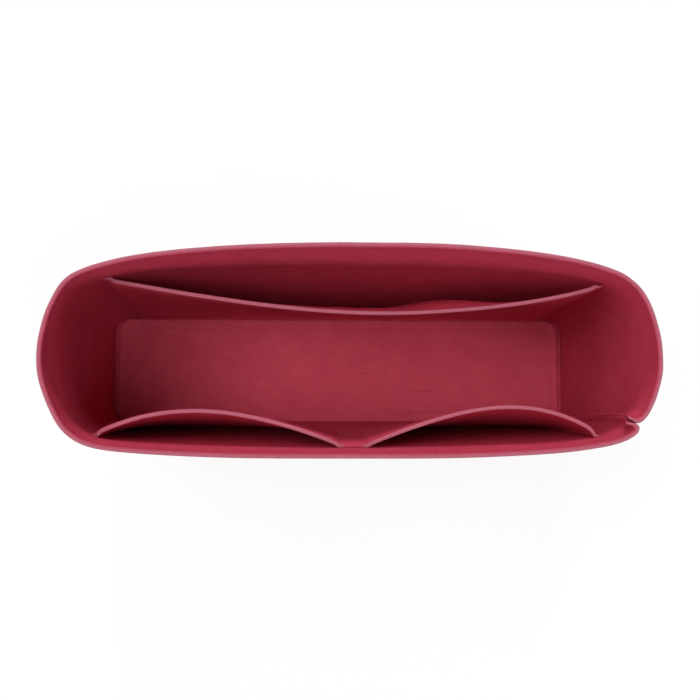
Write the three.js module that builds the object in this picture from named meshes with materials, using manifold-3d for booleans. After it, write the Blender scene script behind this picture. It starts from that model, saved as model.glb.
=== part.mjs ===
// Purse organizer insert: an open felt box that stands inside a handbag.
// One band of felt makes all four walls. Its ends are sewn together in one corner, and its foot
// is turned in as a hem under the floor panel. A wide pocket is sewn on the back wall, and a strip
// that a middle seam divides into two pockets on the front wall.
// Millimetres, +Z up, +X along the box to the right, +Y to the back wall. The origin is on the
// ground under the middle of the box.

import * as THREE from 'three';
import { mergeVertices } from 'three/addons/utils/BufferGeometryUtils.js';
import Module from 'manifold-3d';

const wasm = await Module();
wasm.setup();

// Felt, thread and the gaps between sewn layers
const feltThickness = 2.2;
const layerGap = 0.4;
const threadRadius = 0.25;
const threadGap = 0.3;

// The box inside its walls at the floor, and its height
const insideLength = 243;
const insideWidth = 57;
const insideCornerRadius = 8;
const wallHeight = 150;

// The rim over the outside of the felt, wider than the foot because the walls belly out
const rimLength = 252.2;
const rimWidth = 87.5;

// The rim seen from above, from the corner seam round the right end, the back, the left end and
// the front to the seam again: shares of half the rim's length and of half its width
const rimOutlineShares = [
  [0.915, -0.684], [0.931, -0.655], [0.947, -0.604], [0.963, -0.522], [0.981, -0.404],
  [1, -0.17], [0.997, 0.102], [0.978, 0.334], [0.958, 0.478], [0.927, 0.611],
  [0.888, 0.703], [0.844, 0.764], [0.745, 0.847], [0.595, 0.92], [0.346, 0.984],
  [0.05, 0.998], [-0.236, 0.983], [-0.49, 0.938], [-0.706, 0.859], [-0.802, 0.791],
  [-0.852, 0.744], [-0.902, 0.671], [-0.935, 0.573], [-0.973, 0.348], [-0.995, 0.09],
  [-0.997, -0.189], [-0.974, -0.432], [-0.927, -0.7], [-0.888, -0.814], [-0.838, -0.886],
  [-0.785, -0.921], [-0.675, -0.953], [-0.42, -0.99], [-0.02, -1], [0.365, -0.994],
  [0.669, -0.949], [0.78, -0.907], [0.838, -0.874], [0.887, -0.821], [0.913, -0.765],
  [0.919, -0.719], [0.915, -0.684],
];

// The hem, the fold above it and the floor panel that lies on the hem
const hemWidth = 9;
const hemCornerRadius = 1;
const foldRadius = 2.8;
const floorEndClearance = 2.2;
const floorSideClearance = 0.9;
const floorCornerRadius = 7;
const baseStitchInset = 6;
const stitchGrooveWidth = 1.8;
const stitchGrooveDepth = 0.95;

// The corner seam: both ends of the band turn in, and stand open a little above the last stitch
const seamRounding = 1.1;
const seamAllowance = 2.6;
const seamStitchInset = 1.5;
const seamOpenHeight = 16;
const seamOpenWidth = 1.3;

// Both pocket pieces
const pocketTopDrop = 20;
const pocketFootHeight = 10.8;
const stitchMargin = 2.2;
const stitchRelief = 0.8;
const mouthEaseLength = 2.4;
const runEndMargin = 1.5;
const bellyRiseShare = 1.4;

// Back pocket: a margin from each corner fold, and how far its mouth stands off the wall
const backPocketMargin = 13.8;
const backMouthDepth = 21.85;
const backFullnessShare = 0.77;
const backSkewShare = 0.87;

// Front pocket strip: its mouths stand out most nearer their outer seams, the right one further,
// and lie flat for a way beside the middle seam
const frontStripMargin = 13.4;
const leftMouthDepth = 13.8;
const rightMouthDepth = 15.4;
const leftMiddleFlat = 3.4;
const rightMiddleFlat = 7.6;
const leftFullnessShare = 0.87;
const rightFullnessShare = 0.92;
const leftSkewShare = 0.84;
const rightSkewShare = 0.76;

// How finely the felt is divided: the walls' columns are closer near the corners, where they bend
const wallStep = 9;
const bendStep = 4.5;
const bendLength = 36;
const wallRows = 6;
const sheetStep = 6;
const cornerSteps = 6;
const foldSteps = 3;
const bellyRows = 7;
const threadSides = 6;

// Sizes that follow
const outerHalfLength = insideLength / 2 + feltThickness;
const outerHalfWidth = insideWidth / 2 + feltThickness;
const outerCornerRadius = insideCornerRadius + feltThickness;
const hemTop = feltThickness;
const floorFoot = hemTop + layerGap;
const floorTop = floorFoot + feltThickness;
const pocketTop = wallHeight - pocketTopDrop;
const threadOffset = threadGap + threadRadius;

// A rounded rectangle as nine pieces, from the middle of its right front corner counterclockwise
function ring(inset) {
  const halfLength = outerHalfLength - inset;
  const halfWidth = outerHalfWidth - inset;
  const radius = Math.max(outerCornerRadius - inset, hemCornerRadius);
  const pieces = [];
  const addArc = (signX, signY, from, to) => {
    const centre = new THREE.Vector2(signX * (halfLength - radius), signY * (halfWidth - radius));
    pieces.push({
      isCorner: true,
      length: radius * (to - from),
      at: (share) => {
        const normal = new THREE.Vector2(1, 0).rotateAround(new THREE.Vector2(), from + share * (to - from));
        return { point: centre.clone().addScaledVector(normal, radius), normal };
      },
    });
  };
  const addSide = (normalX, normalY) => {
    const normal = new THREE.Vector2(normalX, normalY);
    const along = new THREE.Vector2(-normalY, normalX);
    const reach = Math.abs(normalX) * halfLength + Math.abs(normalY) * halfWidth;
    const half = Math.abs(normalX) * halfWidth + Math.abs(normalY) * halfLength - radius;
    pieces.push({
      isCorner: false,
      length: 2 * half,
      at: (share) => ({
        point: normal.clone().multiplyScalar(reach).addScaledVector(along, (2 * share - 1) * half),
        normal: normal.clone(),
      }),
    });
  };
  const quarter = Math.PI / 2;
  addArc(1, -1, -quarter / 2, 0);
  addSide(1, 0);
  addArc(1, 1, 0, quarter);
  addSide(0, 1);
  addArc(-1, 1, quarter, 2 * quarter);
  addSide(-1, 0);
  addArc(-1, -1, 2 * quarter, 3 * quarter);
  addSide(0, -1);
  addArc(1, -1, -quarter, -quarter / 2);
  return pieces;
}

const footRing = ring(0);
const footLength = footRing.reduce((sum, piece) => sum + piece.length, 0);

// A station is a place along the band: a piece of the foot's ring and the share along it
function stationAt(distance) {
  let left = distance;
  let index = 0;
  while (index < footRing.length - 1 && left > footRing[index].length) {
    left -= footRing[index].length;
    index += 1;
  }
  return { index, share: left / footRing[index].length, distance };
}

function distanceOf(index, share) {
  const before = footRing.slice(0, index).reduce((sum, piece) => sum + piece.length, 0);
  return before + share * footRing[index].length;
}

// Where the middles of the three corners without a seam are
const cornerDistances = [];
for (let index = 1; index < footRing.length - 1; index += 1) {
  if (footRing[index].isCorner) cornerDistances.push(distanceOf(index, 0.5));
}

const rimCurve = new THREE.CatmullRomCurve3(
  rimOutlineShares.map(([x, y]) => new THREE.Vector3((x * rimLength) / 2, (y * rimWidth) / 2, 0)),
  false,
  'centripetal',
);
rimCurve.arcLengthDivisions = 900;

// The wall's outer face is ruled from the foot's ring to the rim at equal shares of their lengths,
// as a bent sheet is
function wallFace(station, height) {
  const low = footRing[station.index].at(station.share);
  const rimShare = station.distance / footLength;
  const high = rimCurve.getPointAt(rimShare);
  const tangent = rimCurve.getTangentAt(rimShare);
  const rise = height / wallHeight;
  return {
    point: low.point.clone().lerp(new THREE.Vector2(high.x, high.y), rise),
    normal: low.normal.clone().lerp(new THREE.Vector2(tangent.y, -tangent.x), rise).normalize(),
  };
}

function wallPoint(station, inset, height) {
  const { point, normal } = wallFace(station, height);
  point.addScaledVector(normal, -inset);
  return new THREE.Vector3(point.x, point.y, height);
}

// The seam's cusp at a height, the way in from it, and the way across from front to right end
function seamFrame(height) {
  const start = wallFace(stationAt(0), height);
  const end = wallFace(stationAt(footLength), height);
  const inward = start.normal.clone().add(end.normal).normalize().negate();
  const across = new THREE.Vector2(inward.y, -inward.x);
  return { cusp: start.point, inward, across };
}

function seamPoint(height, inset, sideways) {
  const { cusp, inward, across } = seamFrame(height);
  const place = cusp.clone().addScaledVector(inward, inset).addScaledVector(across, sideways);
  return new THREE.Vector3(place.x, place.y, height);
}

// A closed body from sections that are loops of as many points, capped unless it runs round
function sectionBody(sections, capOutline, runsRound) {
  const count = sections[0].length;
  const positions = [];
  const quad = (a, b, c, d) => positions.push(a, b, c, a, c, d);
  const steps = runsRound ? sections.length : sections.length - 1;
  for (let i = 0; i < steps; i += 1) {
    const near = sections[i];
    const far = sections[(i + 1) % sections.length];
    for (let j = 0; j < count; j += 1) {
      const next = (j + 1) % count;
      quad(near[j], far[j], far[next], near[next]);
    }
  }
  if (!runsRound) {
    const clockwise = THREE.ShapeUtils.isClockWise(capOutline);
    for (const [a, b, c] of THREE.ShapeUtils.triangulateShape(capOutline, [])) {
      const first = sections[0];
      const last = sections[sections.length - 1];
      const turned = clockwise ? [a, c, b] : [a, b, c];
      positions.push(...turned.map((k) => first[k]));
      positions.push(...turned.reverse().map((k) => last[k]));
    }
  }
  const geometry = new THREE.BufferGeometry().setFromPoints(positions);
  return facingOut(mergeVertices(geometry));
}

function facingOut(geometry) {
  const place = geometry.getAttribute('position');
  const index = geometry.getIndex();
  const corner = (k) => new THREE.Vector3().fromBufferAttribute(place, index.getX(k));
  let volume = 0;
  for (let k = 0; k < index.count; k += 3) {
    volume += corner(k).dot(corner(k + 1).cross(corner(k + 2)));
  }
  if (volume < 0) {
    for (let k = 0; k < index.count; k += 3) {
      const kept = index.getX(k + 1);
      index.setX(k + 1, index.getX(k + 2));
      index.setX(k + 2, kept);
    }
  }
  return geometry;
}

function toSolid(geometry) {
  const vertProperties = new Float32Array(geometry.getAttribute('position').array);
  const triVerts = new Uint32Array(geometry.getIndex().array);
  return new wasm.Manifold(new wasm.Mesh({ numProp: 3, vertProperties, triVerts }));
}

function toGeometry(solid) {
  const mesh = solid.getMesh();
  const geometry = new THREE.BufferGeometry();
  geometry.setAttribute('position', new THREE.BufferAttribute(mesh.vertProperties, 3));
  geometry.setIndex(new THREE.BufferAttribute(mesh.triVerts, 1));
  return geometry;
}

// Wall band

// Shares from 0 to 1 in equal steps
function equalShares(steps) {
  return Array.from({ length: steps + 1 }, (_, k) => k / steps);
}

// Shares along a side of the ring, closer near its two corners
function sideShares(length) {
  const bend = Math.min(bendLength, length / 2);
  const bendShares = equalShares(Math.ceil(bend / bendStep)).map((share) => (share * bend) / length);
  const flat = 1 - (2 * bend) / length;
  const flatShares = equalShares(Math.max(1, Math.ceil((flat * length) / wallStep)));
  return [
    ...bendShares,
    ...flatShares.slice(1, -1).map((share) => bend / length + share * flat),
    ...bendShares.map((share) => 1 - share).reverse().slice(flat > 0 ? 0 : 1),
  ];
}

// Stations all along the band, closer at the corners and closest beside the seam
function bandStations() {
  const seamShares = [0, 0.06, 0.2, 0.45, 0.72, 1];
  const stations = [];
  footRing.forEach((piece, index) => {
    let shares = [];
    if (index === 0) {
      shares = seamShares;
    } else if (index === footRing.length - 1) {
      shares = seamShares.map((share) => 1 - share).reverse();
    } else {
      shares = piece.isCorner ? equalShares(cornerSteps) : sideShares(piece.length);
    }
    for (const share of index ? shares.slice(1) : shares) {
      stations.push({ index, share, distance: distanceOf(index, share) });
    }
  });
  return stations;
}

// How far the outer face is rounded in at a distance from the seam
function seamPull(fromSeam) {
  if (fromSeam >= seamRounding) return 0;
  const across = 1 - fromSeam / seamRounding;
  return (seamRounding - Math.sqrt(seamRounding ** 2 - (across * seamRounding) ** 2)) * across;
}

// Heights from one level to another in equal rows
function rowsBetween(from, to) {
  return Array.from({ length: wallRows + 1 }, (_, k) => from + (k / wallRows) * (to - from));
}

// One section of the band, from the outer rim down, round the fold, along the hem and up inside
function bandSection(station) {
  const fromSeam = Math.min(station.distance, footLength - station.distance);
  const side = station.distance < footLength / 2 ? 1 : -1;
  const pull = seamPull(fromSeam);
  const place = (inset, height) => {
    if (fromSeam > 0) return wallPoint(station, inset, height);
    return seamPoint(height, inset, (side * layerGap) / 2);
  };
  const hemPlace = (inset, height) => {
    const { point } = ring(inset)[station.index].at(station.share);
    const shift = fromSeam > 0 ? 0 : (side * layerGap) / 2;
    point.addScaledVector(seamFrame(0).across, shift);
    return new THREE.Vector3(point.x, point.y, height);
  };
  const fold = Array.from({ length: foldSteps - 1 }, (_, k) => {
    const angle = ((k + 1) / foldSteps) * (Math.PI / 2);
    return place(Math.max(pull, foldRadius * (1 - Math.cos(angle))), foldRadius * (1 - Math.sin(angle)));
  });
  const groove = feltThickness + baseStitchInset;
  const hemEdge = feltThickness + hemWidth;
  return [
    ...rowsBetween(wallHeight, foldRadius).map((height) => place(pull, height)),
    ...fold,
    place(foldRadius, 0),
    hemPlace(groove - stitchGrooveWidth / 2, 0),
    hemPlace(groove - stitchGrooveWidth / 2, stitchGrooveDepth),
    hemPlace(groove + stitchGrooveWidth / 2, stitchGrooveDepth),
    hemPlace(groove + stitchGrooveWidth / 2, 0),
    hemPlace(hemEdge, 0),
    hemPlace(hemEdge, hemTop),
    ...rowsBetween(hemTop, wallHeight).map((height) => place(feltThickness, height)),
  ];
}

// The same section laid flat, distance in against height, to cap the band's ends
function bandCapOutline() {
  const fold = Array.from({ length: foldSteps - 1 }, (_, k) => {
    const angle = ((k + 1) / foldSteps) * (Math.PI / 2);
    return [foldRadius * (1 - Math.cos(angle)), foldRadius * (1 - Math.sin(angle))];
  });
  const groove = feltThickness + baseStitchInset;
  const hemEdge = feltThickness + hemWidth;
  const outline = [
    ...rowsBetween(wallHeight, foldRadius).map((height) => [0, height]),
    ...fold,
    [foldRadius, 0],
    [groove - stitchGrooveWidth / 2, 0],
    [groove - stitchGrooveWidth / 2, stitchGrooveDepth],
    [groove + stitchGrooveWidth / 2, stitchGrooveDepth],
    [groove + stitchGrooveWidth / 2, 0],
    [hemEdge, 0],
    [hemEdge, hemTop],
    ...rowsBetween(hemTop, wallHeight).map((height) => [feltThickness, height]),
  ];
  return outline.map(([inset, height]) => new THREE.Vector2(inset, height));
}

// One of the two allowances of the corner seam; side is 1 at the right end and -1 at the front
function allowanceBody(side) {
  const foot = floorTop + layerGap;
  const openFrom = wallHeight - seamOpenHeight;
  const levels = [...rowsBetween(foot, openFrom), (openFrom + wallHeight) / 2, wallHeight];
  const sections = levels.map((height) => {
    const open = Math.max(0, (height - openFrom) / seamOpenHeight) * seamOpenWidth;
    const near = layerGap / 2;
    const tip = feltThickness + seamAllowance;
    return [
      seamPoint(height, feltThickness / 2, side * near),
      seamPoint(height, tip, side * (near + open)),
      seamPoint(height, tip, side * (near + open + feltThickness)),
      seamPoint(height, feltThickness / 2, side * (near + feltThickness)),
    ];
  });
  const square = [[0, 0], [1, 0], [1, 1], [0, 1]].map(([x, y]) => new THREE.Vector2(x, y));
  return sectionBody(sections, square, false);
}

function wallBand() {
  const band = sectionBody(bandStations().map(bandSection), bandCapOutline(), false);
  return toGeometry(toSolid(band).add(toSolid(allowanceBody(1))).add(toSolid(allowanceBody(-1))));
}

// Floor panel

function floorPanel() {
  const halfLength = insideLength / 2 - floorEndClearance;
  const halfWidth = insideWidth / 2 - floorSideClearance;
  const radius = floorCornerRadius;
  const outline = new THREE.Shape();
  outline.moveTo(-halfLength + radius, -halfWidth);
  outline.lineTo(halfLength - radius, -halfWidth);
  outline.absarc(halfLength - radius, -halfWidth + radius, radius, -Math.PI / 2, 0, false);
  outline.lineTo(halfLength, halfWidth - radius);
  outline.absarc(halfLength - radius, halfWidth - radius, radius, 0, Math.PI / 2, false);
  outline.lineTo(-halfLength + radius, halfWidth);
  outline.absarc(-halfLength + radius, halfWidth - radius, radius, Math.PI / 2, Math.PI, false);
  outline.lineTo(-halfLength, -halfWidth + radius);
  outline.absarc(-halfLength + radius, -halfWidth + radius, radius, Math.PI, Math.PI * 1.5, false);
  const options = { depth: feltThickness, bevelEnabled: false, curveSegments: cornerSteps };
  const geometry = new THREE.ExtrudeGeometry(outline, options);
  geometry.translate(0, 0, floorFoot);
  return geometry;
}

// Pockets

// A pocket piece lies flat on the wall outside its stitch runs, and bellies out at its mouths
const backPocket = { from: cornerDistances[0] + backPocketMargin, to: cornerDistances[1] - backPocketMargin };
backPocket.runs = [backPocket.from + stitchMargin, backPocket.to - stitchMargin];
backPocket.mouths = [{
  start: backPocket.runs[0] + stitchRelief,
  end: backPocket.runs[1] - stitchRelief,
  depth: backMouthDepth,
  fullness: backFullnessShare,
  skew: backSkewShare,
}];

const frontStrip = { from: cornerDistances[2] + frontStripMargin, to: footLength - frontStripMargin };
const middleRun = (frontStrip.from + frontStrip.to) / 2;
frontStrip.runs = [frontStrip.from + stitchMargin, middleRun, frontStrip.to - stitchMargin];
frontStrip.mouths = [
  {
    start: frontStrip.runs[0] + stitchRelief,
    end: middleRun - leftMiddleFlat,
    depth: leftMouthDepth,
    fullness: leftFullnessShare,
    skew: leftSkewShare,
  },
  {
    start: frontStrip.runs[2] - stitchRelief,
    end: middleRun + rightMiddleFlat,
    depth: rightMouthDepth,
    fullness: rightFullnessShare,
    skew: rightSkewShare,
  },
];

const footRunHeight = pocketFootHeight + stitchMargin;

// How far a pocket piece stands off the wall at a distance along it and a height. A mouth's start
// is the end beside which it stands out most.
function belly(pocket, distance, height) {
  const rise = Math.max(0, (height - footRunHeight) / (pocketTop - footRunHeight));
  for (const { start, end, depth, fullness, skew } of pocket.mouths) {
    const along = (distance - start) / (end - start);
    if (along > 0 && along < 1) {
      const bow = Math.sin(Math.PI * along ** skew) ** fullness;
      const fromEnds = Math.min(Math.abs(distance - start), Math.abs(end - distance));
      const ease = THREE.MathUtils.smoothstep(fromEnds, 0, mouthEaseLength);
      return depth * bow * ease * rise ** bellyRiseShare;
    }
  }
  return 0;
}

function sheetDistances(pocket) {
  const marks = [pocket.from, pocket.to];
  for (const { start, end } of pocket.mouths) {
    const inward = Math.sign(end - start) * mouthEaseLength;
    marks.push(start, start + inward, end - inward, end);
  }
  marks.sort((a, b) => a - b);
  const distances = [marks[0]];
  for (let k = 1; k < marks.length; k += 1) {
    const steps = Math.ceil((marks[k] - marks[k - 1]) / sheetStep);
    for (let n = 1; n <= steps; n += 1) {
      distances.push(marks[k - 1] + (n / steps) * (marks[k] - marks[k - 1]));
    }
  }
  return distances;
}

function sheetHeights() {
  const rows = Array.from({ length: bellyRows + 1 }, (_, k) => k / bellyRows);
  return [pocketFootHeight, ...rows.map((share) => footRunHeight + share * (pocketTop - footRunHeight))];
}

function pocketSheet(pocket) {
  const heights = sheetHeights();
  const back = (distance, height) => {
    const off = feltThickness + layerGap + belly(pocket, distance, height);
    return wallPoint(stationAt(distance), off, height);
  };
  const nudge = feltThickness / 4;
  const front = (distance, height) => {
    const before = back(distance - nudge, height);
    const after = back(distance + nudge, height);
    const below = back(distance, height - nudge);
    const above = back(distance, height + nudge);
    const normal = above.sub(below).cross(after.sub(before)).normalize();
    return back(distance, height).addScaledVector(normal, feltThickness).setZ(height);
  };
  const sections = sheetDistances(pocket).map((distance) => [
    ...heights.map((height) => back(distance, height)),
    ...[...heights].reverse().map((height) => front(distance, height)),
  ]);
  const capOutline = [
    ...heights.map((height) => new THREE.Vector2(0, height)),
    ...[...heights].reverse().map((height) => new THREE.Vector2(feltThickness, height)),
  ];
  return sectionBody(sections, capOutline, false);
}

// Threads

// A round thread along places, each a point and the way off the felt there, with each ring square
// to the way the thread runs
function threadBody(places, runsRound) {
  const count = places.length;
  const rings = places.map(({ point, off }, k) => {
    const before = places[runsRound ? (k + count - 1) % count : Math.max(k - 1, 0)].point;
    const after = places[runsRound ? (k + 1) % count : Math.min(k + 1, count - 1)].point;
    const along = after.clone().sub(before).normalize();
    const side = along.clone().cross(off).normalize();
    const up = side.clone().cross(along);
    return Array.from({ length: threadSides }, (_, n) => {
      const angle = (n / threadSides) * 2 * Math.PI;
      return point
        .clone()
        .addScaledVector(side, threadRadius * Math.cos(angle))
        .addScaledVector(up, threadRadius * Math.sin(angle));
    });
  });
  const capOutline = Array.from({ length: threadSides }, (_, n) => {
    const angle = (n / threadSides) * 2 * Math.PI;
    return new THREE.Vector2(Math.cos(angle), Math.sin(angle));
  });
  return sectionBody(rings, capOutline, runsRound);
}

// The needle thread lies on the pocket piece, and the bobbin thread on the outside of the wall
const needleInset = 2 * feltThickness + layerGap + threadOffset;
const bobbinInset = -threadOffset;

function wallPlace(distance, inset, height) {
  const { normal } = wallFace(stationAt(distance), height);
  const off = new THREE.Vector3(-normal.x, -normal.y, 0);
  return { point: wallPoint(stationAt(distance), inset, height), off };
}

function uprightPlaces(distance, inset, foot) {
  const heights = rowsBetween(pocketTop - runEndMargin, foot);
  return heights.map((height) => wallPlace(distance, inset, height));
}

function uprightThread(distance, inset) {
  return threadBody(uprightPlaces(distance, inset, footRunHeight + 2 * runEndMargin), false);
}

// Down one side of a pocket piece, along its foot and up the other side
function pocketRunThread(pocket, inset) {
  const first = pocket.runs[0];
  const last = pocket.runs[pocket.runs.length - 1];
  const steps = Math.ceil((last - first) / (2 * sheetStep));
  const turn = 2 * threadRadius;
  const along = Array.from({ length: steps + 1 }, (_, k) =>
    first + turn + (k / steps) * (last - first - 2 * turn));
  const places = [
    ...uprightPlaces(first, inset, footRunHeight + turn),
    ...along.map((distance) => wallPlace(distance, inset, footRunHeight)),
    ...uprightPlaces(last, inset, footRunHeight + turn).reverse(),
  ];
  return threadBody(places, false);
}

// Round the floor, on top of the panel or in the hem's groove
function baseRunThread(height) {
  const path = ring(feltThickness + baseStitchInset);
  const off = new THREE.Vector3(0, 0, 1);
  const places = [];
  path.forEach((piece, index) => {
    if (index === path.length - 1) return;
    const shares = piece.isCorner ? [0, 0.5, 1] : [0.25, 0.5, 0.75];
    for (const share of shares) {
      const { point } = piece.at(share);
      places.push({ point: new THREE.Vector3(point.x, point.y, height), off });
    }
  });
  const { point } = path[path.length - 1].at(0);
  places.push({ point: new THREE.Vector3(point.x, point.y, height), off });
  return threadBody(places, true);
}

// Up the corner seam, on the outer face of one allowance
function cornerRunThread(side) {
  const sideways = layerGap / 2 + feltThickness + threadOffset;
  const low = floorTop + layerGap + runEndMargin;
  const high = wallHeight - seamOpenHeight - runEndMargin;
  const places = rowsBetween(low, high).map((height) => {
    const { across } = seamFrame(height);
    const point = seamPoint(height, feltThickness + seamStitchInset, side * sideways);
    return { point, off: new THREE.Vector3(across.x, across.y, 0) };
  });
  return threadBody(places, false);
}

// Materials and the assembly

function felt() {
  return new THREE.MeshStandardMaterial({ color: 0xa8283f, roughness: 0.95, metalness: 0 });
}

function thread() {
  return new THREE.MeshStandardMaterial({ color: 0x8c1f36, roughness: 0.7, metalness: 0 });
}

const insert = new THREE.Group();

function addPiece(name, geometry, material) {
  const piece = new THREE.Mesh(geometry, material);
  piece.name = name;
  insert.add(piece);
}

addPiece('wall_band', wallBand(), felt());
addPiece('floor_panel', floorPanel(), felt());
addPiece('back_pocket_panel', pocketSheet(backPocket), felt());
addPiece('front_pocket_strip', pocketSheet(frontStrip), felt());

addPiece('base_seam_needle_thread', baseRunThread(floorTop + threadOffset), thread());
addPiece('base_seam_bobbin_thread', baseRunThread(stitchGrooveDepth / 2), thread());
addPiece('corner_seam_needle_thread', cornerRunThread(1), thread());
addPiece('corner_seam_bobbin_thread', cornerRunThread(-1), thread());
addPiece('back_pocket_needle_thread', pocketRunThread(backPocket, needleInset), thread());
addPiece('back_pocket_bobbin_thread', pocketRunThread(backPocket, bobbinInset), thread());
addPiece('front_pocket_needle_thread', pocketRunThread(frontStrip, needleInset), thread());
addPiece('front_pocket_bobbin_thread', pocketRunThread(frontStrip, bobbinInset), thread());
addPiece('middle_seam_needle_thread', uprightThread(middleRun, needleInset), thread());
addPiece('middle_seam_bobbin_thread', uprightThread(middleRun, bobbinInset), thread());

export default insert;
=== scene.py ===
"""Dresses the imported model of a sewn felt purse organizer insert.

Four pieces of felt make it: a wall band whose ends are sewn together in one corner, a floor panel on the
band's hem, a wide pocket on the back wall and a strip on the front wall that a middle seam divides in two.
The felt is modelled as sheets with their real thickness and soft cut edges, and each seam's two threads as
rows of lockstitches. Lengths are in metres, +Z up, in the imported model's frame.
"""

import math

import bpy
import numpy as np
from bpy.props import FloatProperty, FloatVectorProperty, PointerProperty, StringProperty
from mathutils import Matrix, Vector


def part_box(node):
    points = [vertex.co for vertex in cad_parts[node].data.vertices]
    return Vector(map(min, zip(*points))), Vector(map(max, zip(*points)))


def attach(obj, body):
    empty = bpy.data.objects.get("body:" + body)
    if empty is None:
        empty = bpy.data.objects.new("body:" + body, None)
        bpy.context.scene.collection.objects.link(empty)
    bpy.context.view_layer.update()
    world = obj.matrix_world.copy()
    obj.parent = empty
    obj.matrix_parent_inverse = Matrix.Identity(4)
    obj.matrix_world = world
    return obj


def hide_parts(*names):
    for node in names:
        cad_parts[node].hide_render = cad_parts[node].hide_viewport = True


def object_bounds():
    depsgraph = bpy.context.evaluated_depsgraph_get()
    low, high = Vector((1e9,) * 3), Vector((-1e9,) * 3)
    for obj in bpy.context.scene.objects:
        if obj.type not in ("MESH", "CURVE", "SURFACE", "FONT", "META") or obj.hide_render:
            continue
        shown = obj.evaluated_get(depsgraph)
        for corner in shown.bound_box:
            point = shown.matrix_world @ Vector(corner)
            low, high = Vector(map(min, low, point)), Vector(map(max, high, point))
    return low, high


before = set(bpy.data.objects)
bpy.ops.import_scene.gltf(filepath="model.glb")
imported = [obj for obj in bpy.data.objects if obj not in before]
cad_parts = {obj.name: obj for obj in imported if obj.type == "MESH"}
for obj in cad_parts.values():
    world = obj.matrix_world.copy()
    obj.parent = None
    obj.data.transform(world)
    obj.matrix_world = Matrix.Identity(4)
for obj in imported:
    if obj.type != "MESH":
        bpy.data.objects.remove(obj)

bl_info = {
    "name": "Felt purse organizer insert",
    "version": (1, 0, 0),
    "blender": (4, 5, 0),
    "location": "3D View > Sidebar > Insert",
    "description": "Builds a sewn felt bag insert with pockets around its packed model",
    "category": "Object",
}

MM = 0.001
BODY = "root"
CAD_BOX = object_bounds()
FLOOR_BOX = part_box("floor_panel")

# The rim seen from above, from the corner seam round the right end, the back, the left end and the front
# to the seam again: shares of half the rim's length and of half its width
RIM_OUTLINE_SHARES = (
    (0.915, -0.684), (0.931, -0.655), (0.947, -0.604), (0.963, -0.522), (0.981, -0.404),
    (1, -0.17), (0.997, 0.102), (0.978, 0.334), (0.958, 0.478), (0.927, 0.611),
    (0.888, 0.703), (0.844, 0.764), (0.745, 0.847), (0.595, 0.92), (0.346, 0.984),
    (0.05, 0.998), (-0.236, 0.983), (-0.49, 0.938), (-0.706, 0.859), (-0.802, 0.791),
    (-0.852, 0.744), (-0.902, 0.671), (-0.935, 0.573), (-0.973, 0.348), (-0.995, 0.09),
    (-0.997, -0.189), (-0.974, -0.432), (-0.927, -0.7), (-0.888, -0.814), (-0.838, -0.886),
    (-0.785, -0.921), (-0.675, -0.953), (-0.42, -0.99), (-0.02, -1), (0.365, -0.994),
    (0.669, -0.949), (0.78, -0.907), (0.838, -0.874), (0.887, -0.821), (0.913, -0.765),
    (0.919, -0.719), (0.915, -0.684),
)

# The base's rounded outline from the middle of its right front corner counterclockwise. Each stretch has
# the angles of its outward normal in degrees, and the corners whose centres it starts and ends on.
BASE_STRETCHES = (
    (-45, 0, (1, -1), (1, -1)),
    (0, 0, (1, -1), (1, 1)),
    (0, 90, (1, 1), (1, 1)),
    (90, 90, (1, 1), (-1, 1)),
    (90, 180, (-1, 1), (-1, 1)),
    (180, 180, (-1, 1), (-1, -1)),
    (180, 270, (-1, -1), (-1, -1)),
    (270, 270, (-1, -1), (1, -1)),
    (270, 315, (1, -1), (1, -1)),
)


def length(name, description, default, **limits):
    """A size that a user may change"""
    return FloatProperty(
        name=name, description=description, default=default, unit="LENGTH", precision=5, **limits)


class InsertSizes(bpy.types.PropertyGroup):
    """Sizes of the felt, the box, its seams and its pockets"""

    felt: length(
        "Felt thickness", "Thickness of every piece of felt",
        FLOOR_BOX[1].z - FLOOR_BOX[0].z, min=MM, max=6 * MM)
    height: length("Height", "Height of the wall over the ground", CAD_BOX[1].z, min=50 * MM)
    rim_length: length("Rim length", "Length of the rim over the outside of the felt", 252.2 * MM)
    rim_width: length("Rim width", "Width of the rim over the outside of the felt", 87.5 * MM)
    base_length: length("Base length", "Length of the box inside its walls at the floor", 243 * MM)
    base_width: length("Base width", "Width of the box inside its walls at the floor", 57 * MM)
    base_corner: length("Base corner radius", "Radius of the wall's inside corners at the floor", 8 * MM)
    hem: length("Hem width", "How far the wall's foot is turned in under the floor panel", 9 * MM)
    pocket_top: length(
        "Pocket height", "Height of the pockets' mouths over the ground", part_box("back_pocket_panel")[1].z)
    allowance: length(
        "Seam allowance", "How far the corner seam's allowances reach in from the cusp", 4.8 * MM)
    stitch: length("Stitch length", "Length of one lockstitch", 3.2 * MM, min=MM)
    thread: length("Thread thickness", "Thickness of the sewing thread", 0.5 * MM, min=0.1 * MM)
    wave: length("Waviness", "How far the walls stray from a smoothly bent sheet", 0.35 * MM, min=0)


def colour(name, description, default):
    """A colour that a user may change, as an sRGB hex value"""
    return StringProperty(name=name, description=description, default=default)


class InsertColours(bpy.types.PropertyGroup):
    """Colours of the felt, the thread and the studio"""

    felt: colour("Felt", "Colour of the felt's faces", "#CF4B62")
    felt_shade: colour("Felt shade", "Colour between the felt's fibres", "#BE3953")
    # The floor's two colours are a paler copy of the walls' felt: painted light on the floor, which faces up
    # into the lamps
    floor: colour("Floor felt", "Colour of the floor panel's face", "#CF5465")
    floor_shade: colour("Floor felt shade", "Colour between the floor panel's fibres", "#BE4056")
    edge: colour("Open cut edge", "Colour of cut edges whose fibres stand open", "#AC6271")
    edge_shade: colour("Dense cut edge", "Colour of cut edges that are pressed together", "#A4374C")
    thread: colour("Thread", "Colour of the sewing thread", "#C0485E")
    paper: colour("Paper", "Colour of the studio floor", "#F4F4F4")


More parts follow.
